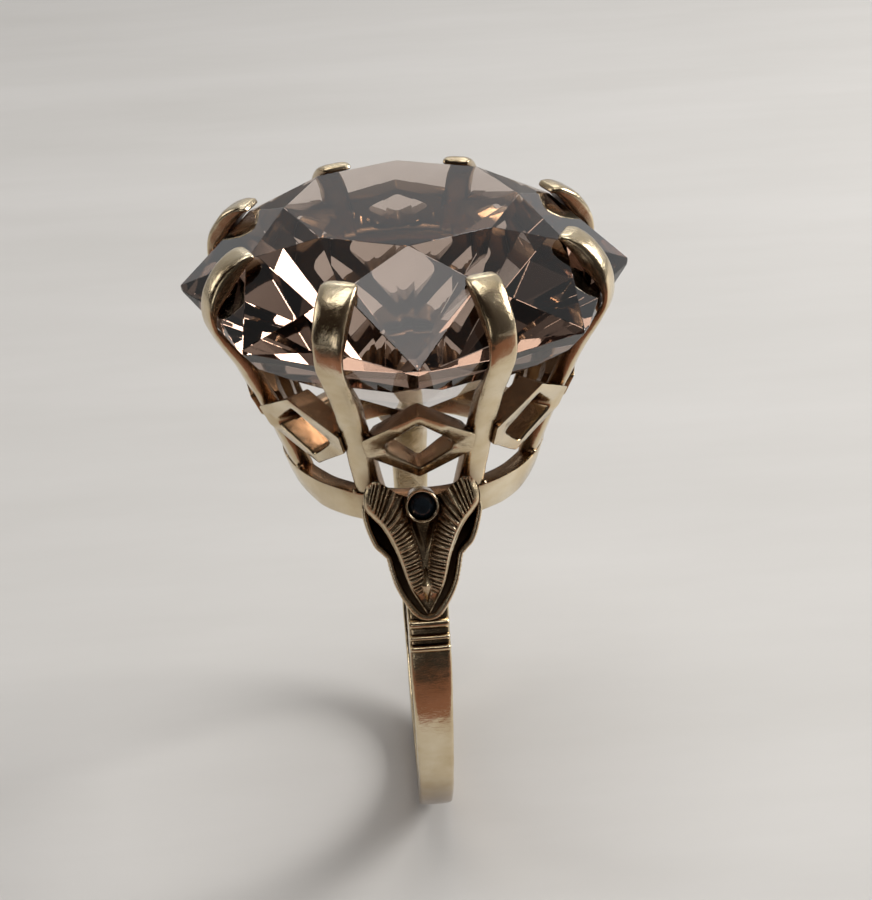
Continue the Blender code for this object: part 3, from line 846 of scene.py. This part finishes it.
def leaf_height(x, s):
    """Height of the engraved surface over arrays of x and s."""
    from_border, along = groove_positions(np.stack([x, s], axis=-1))
    size = smooth_step(0.8, 4.6, s)
    valley_edge = np.interp(s, (0.0, 1.9, 2.9, 3.5, 4.4, 5.0), (0.02, 0.06, 0.16, 0.32, 0.58, 0.66))
    from_valley = x - valley_edge
    reach = from_border + np.maximum(from_valley, 0.0)
    share = np.clip(from_border / np.maximum(reach, 1e-6), 0.0, 1.0)
    # Each lobe is a full roll, highest nearer its outer side and falling into the valley.
    roll = np.sin(np.pi * share ** 0.7) ** 0.75
    lobe = 0.06 + (0.16 + 0.3 * size) * roll + 0.1 * size * (1 - share)
    valley = -0.02 - 0.3 * smooth_step(2.6, 4.3, s) * smooth_step(0.0, 0.3, valley_edge - x)
    height = np.where(from_valley > 0.0, lobe, np.minimum(lobe, valley))
    # Engraved lines run in from the border, leaving a polished band there.
    border_width = 0.09 + 0.13 * size + 0.1 * smooth_step(4.4, 5.2, s) * smooth_step(1.9, 2.4, x)
    band = smooth_step(border_width - 0.03, border_width + 0.05, from_border)
    lower_end = smooth_step(1.15, 1.4, s)
    upper_end = 1.0 - smooth_step(6.05, 6.25, s)
    inner_end = smooth_step(0.0, 0.1, from_valley)
    by_hand = 0.035 * np.sin(5.3 * along) + 0.02 * np.sin(13.1 * along + 1.0)
    wave = 0.5 + 0.5 * np.cos(2 * np.pi * (along + by_hand) / GROOVE_PITCH)
    height = height - GROOVE_DEPTH * wave ** 2.2 * band * lower_end * upper_end * inner_end
    # The border is a raised, rounded band.
    crest = 0.13 + 0.2 * size
    lip = np.sqrt(np.clip(1 - ((from_border - 0.5 * border_width) / (0.62 * border_width)) ** 2, 0.0, 1.0))
    height = np.where(from_border < border_width, np.maximum(height, crest - 0.07 + 0.07 * lip), height)
    # A small four-sided pyramid fills the point of the heart.
    pyramid = 0.36 - 0.75 * np.abs(x + 0.05) - 0.42 * np.abs(s - 1.6)
    low_part = (s < 2.4) & (from_border > 0.05)
    return np.where(low_part, np.maximum(height * smooth_step(0.8, 1.7, s), pyramid), height)


def leaf_half_rings():
    """The right half of a leaf, as closed sections from its tip to its top."""
    rows = np.linspace(LEAF_HALF[0][1] + 0.02, LEAF_HALF[-1][1] - 0.015, LEAF_ROWS)
    spans = [(leaf_inner(s), max(leaf_outer(s), leaf_inner(s) + 0.02)) for s in rows]
    share = np.linspace(0.0, 1.0, LEAF_COLUMNS)
    grid_x = np.array([low + (high - low) * share for low, high in spans])
    grid_s = np.repeat(rows[:, None], LEAF_COLUMNS, axis=1)
    heights = leaf_height(grid_x.ravel(), grid_s.ravel()).reshape(grid_x.shape)
    rings = []
    for i, s in enumerate(rows):
        floor = depth_at_radius(s, SHIELD_FLOOR_RADIUS - 0.06)
        low_x, high_x = spans[i]
        ring = [on_slant(x, s, n) for x, n in zip(grid_x[i], heights[i])]
        ring.append(on_slant(high_x, s, heights[i][-1] - 0.06))
        ring.append(clear_of_basket(on_slant(high_x, s, floor)))
        ring.append(clear_of_basket(on_slant(low_x, s, floor)))
        rings.append(ring)
    return rings


def turned_to(side):
    """The turn about the stone's axis that puts a shoulder piece on its side."""
    return 0.0 if side == "front" else 180.0


def make_leaf(side, material):
    """The engraved leaf, as two mirrored halves."""
    bm = bmesh.new()
    rings = leaf_half_rings()
    loft(bm, rings)
    loft(bm, [[Vector((-p.x, p.y, p.z)) for p in ring] for ring in rings])
    wear(bm, 0.012, 1.8, 80)
    leaf = piece(f"engraved_leaf_{side}", bm, material, 60.0, turned_to(side))
    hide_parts(f"shoulder_leaf_{side}")


RIM_WALL = 0.25
NICK_PITCH = 0.2
NICK_DEPTH = 0.03
NICK_START, NICK_END = 1.7, 2.9


def nick_depth(s):
    """The small file cuts along the outside of the rim, below the scroll."""
    if not NICK_START < s < NICK_END:
        return 0.0
    return NICK_DEPTH * smooth_step(0.3, 1.0, math.sin(2 * math.pi * s / NICK_PITCH))


def shield_path():
    """The rim's centre line, from one upper end round the tip to the other, with its outward side."""
    right = [np.array(p) for p in curve_through(SHIELD_HALF, 9)]
    path = [np.array((-p[0], p[1])) for p in reversed(right[1:])] + right
    path = np.array(path)
    tangent = np.gradient(path, axis=0)
    tangent /= np.linalg.norm(tangent, axis=1)[:, None]
    outward = np.stack([tangent[:, 1], -tangent[:, 0]], axis=1)
    return path, outward


def shield_rings():
    """The rim as a wall with a rounded top, following the outline from end to end."""
    path, outward = shield_path()
    rings = []
    for (x, s), (ox, os) in zip(path, outward):
        back = depth_at_radius(s, SHIELD_BACK_RADIUS)
        nick = nick_depth(s)
        wall = RIM_WALL + 0.07 * (1.0 - smooth_step(0.2, 1.4, s))
        centre, half = -wall / 2, wall / 2
        profile = [(-nick, back), (-nick, -0.1)]
        for i in range(1, 8):
            turn = math.pi * i / 8
            out = centre + half * math.cos(turn) - nick * (1 - i / 8)
            profile.append((out, -0.1 + 0.13 * math.sin(turn)))
        profile += [(-wall, -0.1), (-wall - 0.02, back)]
        ring = []
        for out, n in profile:
            ring.append(clear_of_basket(on_slant(x + ox * out, s + os * out, n)))
        rings.append(ring)
    return rings


def pocket_rings():
    """The shield's floor, as a thin curved plate between its walls."""
    outline = np.array(curve_through(POCKET_HALF, 6))
    rings = []
    for half, s in outline:
        top = depth_at_radius(s, SHIELD_FLOOR_RADIUS)
        back = depth_at_radius(s, SHIELD_BACK_RADIUS)
        xs = np.linspace(-half, half, 9) * 1.04
        ring = [clear_of_basket(on_slant(x, s, top)) for x in xs]
        ring += [clear_of_basket(on_slant(x, s, back)) for x in reversed(xs)]
        rings.append(ring)
    return rings


def make_shield(side, material, tarnished):
    """The rim, and inside it a dark tarnished floor."""
    bm = bmesh.new()
    loft(bm, shield_rings())
    rim_faces = len(bm.faces)
    loft(bm, pocket_rings())
    for face in list(bm.faces)[rim_faces:]:
        face.material_index = 1
    wear(bm, 0.012, 1.5, 90)
    shield = piece(f"scroll_shield_{side}", bm, material, 50.0, turned_to(side))
    shield.data.materials.append(tarnished)
    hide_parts(f"shoulder_shield_{side}")


def stand_on_slant(bm):
    """Moves a piece turned about Z so that it stands on the shoulder at the bezel's centre."""
    turn = Matrix.Rotation(math.pi / 2 - SLANT, 3, "X")
    bmesh.ops.rotate(bm, cent=(0, 0, 0), matrix=turn, verts=bm.verts)
    bmesh.ops.translate(bm, vec=on_slant(0.0, BEZEL_S), verts=bm.verts)


def make_bezel(side, material):
    """A short tube with a thin lip rubbed over the small stone."""
    section = (
        (BEZEL_OUTER, -0.6), (BEZEL_OUTER, 0.3), (BEZEL_OUTER - 0.01, 0.42), (BEZEL_OUTER - 0.035, 0.475),
        (BEZEL_OUTER - 0.07, 0.5), (BEZEL_INNER + 0.02, 0.49), (BEZEL_INNER - 0.02, 0.455),
        (BEZEL_INNER - 0.03, 0.4), (BEZEL_INNER - 0.02, 0.3), (BEZEL_INNER, 0.02), (0.5, -0.08), (0.5, -0.6),
    )
    bm = bmesh.new()
    revolve(bm, section, 72)
    stand_on_slant(bm)
    wear(bm, 0.014, 2.6, 100)
    bezel = piece(f"bezel_tube_{side}", bm, material, 45.0, turned_to(side))
    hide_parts(f"bezel_{side}")


ACCENT_SIDES = 8
ACCENT_CULET = -0.3
# Tiers of the small stone: radius, height, and turn as a share of a side.
ACCENT_TIERS = (
    (0.46, -0.02, 0.0), (0.6, 0.12, 0.5), (0.6, 0.17, 0.5), (0.5, 0.28, 0.0), (0.36, 0.36, 0.5),
)


def make_accent_stone(side, material):
    """A small round stone: a girdle, two tiers of crown facets and a table."""
    bm = bmesh.new()
    for radius, height, shift in ACCENT_TIERS:
        for i in range(ACCENT_SIDES):
            turn = 2 * math.pi * (i + shift) / ACCENT_SIDES
            bm.verts.new((radius * math.cos(turn), radius * math.sin(turn), height))
    bmesh.ops.convex_hull(bm, input=bm.verts[:] + [bm.verts.new((0.0, 0.0, ACCENT_CULET))])
    stand_on_slant(bm)
    stone = piece(f"accent_gem_{side}", bm, material, 0.0, turned_to(side))
    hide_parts(f"accent_stone_{side}")


# ---------------------------------------------------------------- solder


def add_bead(bm, centre, size, turn, seed):
    """One lump of solder: a ball, stretched, turned and made uneven."""
    made = bmesh.ops.create_icosphere(bm, subdivisions=2, radius=1.0)["verts"]
    for vert in made:
        rough = 1.0 + 0.28 * noise.noise(vert.co * 1.6 + Vector((seed, seed * 0.7, 0.0)))
        vert.co = vert.co * rough
    shape = Matrix.Translation(centre) @ turn @ Matrix.Diagonal((*size, 1.0))
    bmesh.ops.transform(bm, matrix=shape, verts=made)


SEAM_HEIGHTS = (12.05, 12.35, 12.65, 12.9)
SEAM_SIDE = 0.62
FOOT_RADIUS = 5.9
FOOT_SIDE = 0.58


def make_solder(material):
    """Uneven seams where the frames meet the claws, and where the claws stand on the rail."""
    bm = bmesh.new()
    for k in range(CLAW_COUNT):
        for side in (-1.0, 1.0):
            seed = k * 2 + side
            azimuth = CLAW_PHASE + k * CLAW_STEP
            for step, z in enumerate(SEAM_HEIGHTS):
                radius = frame_radius(z) - 0.12
                wobble = 0.03 * math.sin(seed * 3.1 + step * 1.9)
                local = Vector((radius + wobble, side * SEAM_SIDE, z))
                turn = Matrix.Rotation(math.radians(azimuth), 4, "Z")
                tilt = Matrix.Rotation(math.atan(FRAME_SLOPE), 4, "Y")
                size = (0.10, 0.10, 0.2 + 0.04 * math.sin(seed + step))
                add_bead(bm, turn @ local, size, turn @ tilt, seed + step * 5)
            foot = Vector((FOOT_RADIUS, side * FOOT_SIDE, RAIL_TOP_Z + 0.02))
            turn = Matrix.Rotation(math.radians(azimuth), 4, "Z")
            add_bead(bm, turn @ foot, (0.2, 0.16, 0.14), turn, seed + 31)
    piece("solder_seams", bm, material, 60.0)


# ---------------------------------------------------------------- stage


def make_floor(material):
    """A plain pale floor under the shank."""
    half = 900.0
    floor_z = CAD_LOW.z / MM
    bm = bmesh.new()
    bmesh.ops.create_grid(bm, x_segments=12, y_segments=12, size=half * MM)
    mesh = bpy.data.meshes.new("floor")
    bm.to_mesh(mesh)
    bm.free()
    mesh.materials.append(material)
    floor = bpy.data.objects.new("floor", mesh)
    floor.location = (0.0, 0.0, (floor_z - 0.02) * MM)
    bpy.context.scene.collection.objects.link(floor)


def set_exposure():
    """Plain display colours, with nothing lifted."""
    view = bpy.context.scene.view_settings
    view.view_transform = "Standard"
    view.exposure = 0.0


def make_camera():
    """The camera, its axes worked out from its yaw, pitch and roll."""
    forward = Vector((
        math.sin(CAMERA_YAW) * math.cos(CAMERA_PITCH),
        math.cos(CAMERA_YAW) * math.cos(CAMERA_PITCH),
        -math.sin(CAMERA_PITCH),
    ))
    level_right = Vector((math.cos(CAMERA_YAW), -math.sin(CAMERA_YAW), 0.0))
    level_up = level_right.cross(forward)
    right = level_right * math.cos(CAMERA_ROLL) + level_up * math.sin(CAMERA_ROLL)
    up = -level_right * math.sin(CAMERA_ROLL) + level_up * math.cos(CAMERA_ROLL)
    data = bpy.data.cameras.new("camera")
    data.lens = CAMERA_LENS
    data.sensor_width = CAMERA_SENSOR
    data.clip_start = 1.0 * MM
    data.clip_end = 5000.0 * MM
    camera = bpy.data.objects.new("camera", data)
    turn = Matrix((right, up, -forward)).transposed().to_4x4()
    camera.matrix_world = Matrix.Translation(CAMERA_PLACE * MM) @ turn
    bpy.context.scene.collection.objects.link(camera)
    bpy.context.scene.camera = camera


def add_softbox(name, place, size, radiance, colour, target=(0.0, 0.0, 8.0)):
    """A soft rectangular light of a given brightness, in millimetres, facing the target."""
    data = bpy.data.lights.new(name, "AREA")
    data.shape = "RECTANGLE"
    data.size = size[0] * MM
    data.size_y = size[1] * MM
    data.energy = radiance * math.pi * data.size * data.size_y
    data.color = colour
    lamp = bpy.data.objects.new(name, data)
    lamp.location = Vector(place) * MM
    facing = (Vector(target) - Vector(place)).to_track_quat("-Z", "Y")
    lamp.rotation_euler = facing.to_euler()
    bpy.context.scene.collection.objects.link(lamp)


def make_world():
    """Soft surroundings: a bright window side behind and to the right, and a dim warm room in front."""
    world = bpy.data.worlds.new("studio")
    bpy.context.scene.world = world
    world.use_nodes = True
    tree = world.node_tree
    background = tree.nodes["Background"]
    coordinates = tree.nodes.new("ShaderNodeTexCoord")
    window_side = tree.nodes.new("ShaderNodeVectorMath")
    window_side.operation = "DOT_PRODUCT"
    tree.links.new(coordinates.outputs["Generated"], window_side.inputs[0])
    window_side.inputs[1].default_value = Vector((0.42, 0.85, 0.12)).normalized()
    rise = tree.nodes.new("ShaderNodeMath")
    rise.operation = "MULTIPLY_ADD"
    tree.links.new(window_side.outputs["Value"], rise.inputs[0])
    rise.inputs[1].default_value = 0.5
    rise.inputs[2].default_value = 0.5
    ramp = tree.nodes.new("ShaderNodeValToRGB")
    stops = (
        (0.2, (0.035, 0.026, 0.022)), (0.45, (0.13, 0.11, 0.10)),
        (0.7, (0.55, 0.54, 0.53)), (0.95, (1.0, 1.0, 1.0)),
    )
    while len(ramp.color_ramp.elements) < len(stops):
        ramp.color_ramp.elements.new(0.5)
    for element, (position, colour) in zip(ramp.color_ramp.elements, stops):
        element.position = position
        element.color = (*colour, 1.0)
    tree.links.new(rise.outputs["Value"], ramp.inputs["Fac"])
    seen = tree.nodes.new("ShaderNodeLightPath")
    backdrop = tree.nodes.new("ShaderNodeMix")
    backdrop.data_type = "RGBA"
    tree.links.new(seen.outputs["Is Camera Ray"], backdrop.inputs["Factor"])
    tree.links.new(ramp.outputs["Color"], backdrop.inputs["A"])
    backdrop.inputs["B"].default_value = (0.72, 0.71, 0.69, 1.0)
    tree.links.new(backdrop.outputs["Result"], background.inputs["Color"])
    background.inputs["Strength"].default_value = 0.6


def make_lights():
    """A window to the right, and softer panels to the left, above, behind and low in front."""
    add_softbox("window", (255.0, 60.0, 150.0), (120.0, 120.0), 15.0, (1.0, 0.985, 0.96))
    add_softbox("front_fill", (-75.0, -150.0, 40.0), (50.0, 60.0), 1.3, (1.0, 0.97, 0.93))
    add_softbox("left_fill", (-240.0, 60.0, 110.0), (110.0, 90.0), 2.6, (1.0, 0.97, 0.93))
    add_softbox("ceiling", (-10.0, 10.0, 300.0), (180.0, 150.0), 2.8, (1.0, 0.985, 0.97))
    add_softbox("back_window", (40.0, 300.0, 250.0), (150.0, 90.0), 2.5, (1.0, 0.99, 0.98))


def flag_material(name, colour):
    """A matt card, slightly uneven."""
    n = Nodes(name)
    shade = n.noise(0.02, 3.0)
    n.link(n.ramp(shade, (0.3, tuple(c * 0.7 for c in colour)), (0.7, colour)), n.shader.inputs["Base Color"])
    n.shader.inputs["Roughness"].default_value = 0.9
    return n.material


def add_flag(name, corners, material):
    """A card beside the camera that only shows in the reflections of polished metal."""
    bm = bmesh.new()
    bm.faces.new([bm.verts.new(Vector(corner) * MM) for corner in corners])
    mesh = bpy.data.meshes.new(name)
    bm.to_mesh(mesh)
    bm.free()
    mesh.materials.append(material)
    card = bpy.data.objects.new(name, mesh)
    card.visible_camera = False
    card.visible_diffuse = False
    card.visible_transmission = False
    card.visible_shadow = False
    bpy.context.scene.collection.objects.link(card)


def low_card(name, side, near, far, z, material):
    """A level card in front of the ring, between two distances."""
    corners = ((-side, near, z), (side, near, z), (side, far, z), (-side, far, z))
    add_flag(name, corners, material)


def make_flags():
    """What the polished shank mirrors: a pale floor close by, then something warm, then a dark room."""
    side = 150.0
    card_z = CAD_LOW.z / MM + 0.5
    warm = flag_material("warm_card", (0.34, 0.16, 0.11))
    dark = flag_material("dark_card", (0.03, 0.024, 0.02))
    near, middle, far = -22.0, -66.0, -200.0
    low_card("warm_flag", side, near, middle, card_z, warm)
    low_card("dark_flag", side, middle, far, card_z, dark)
    wall = ((-side, far, card_z), (side, far, card_z), (side, far, side), (-side, far, side))
    add_flag("room_flag", wall, dark)


def main():
    make_camera()
    set_exposure()
    make_world()
    make_lights()
    make_flags()
    make_floor(floor_material())
    gold = gold_material()
    engraved = gold_material("engraved_gold", grime_start=0.5, satin=0.1)
    rim_gold = gold_material("rim_gold", grime_start=0.4, satin=0.14)
    tarnished = gold_material("tarnished_gold", tarnish=0.85)
    blue = accent_material()
    make_stone(quartz_material())
    for index in range(1, CLAW_COUNT + 1):
        make_claw(index, gold)
        make_gallery_frame(index, gold)
    make_base_rail(gold)
    make_shank(gold)
    for side in ("front", "back"):
        make_shield(side, rim_gold, tarnished)
        make_leaf(side, engraved)
        make_bezel(side, gold)
        make_accent_stone(side, blue)
    make_solder(gold)


main()
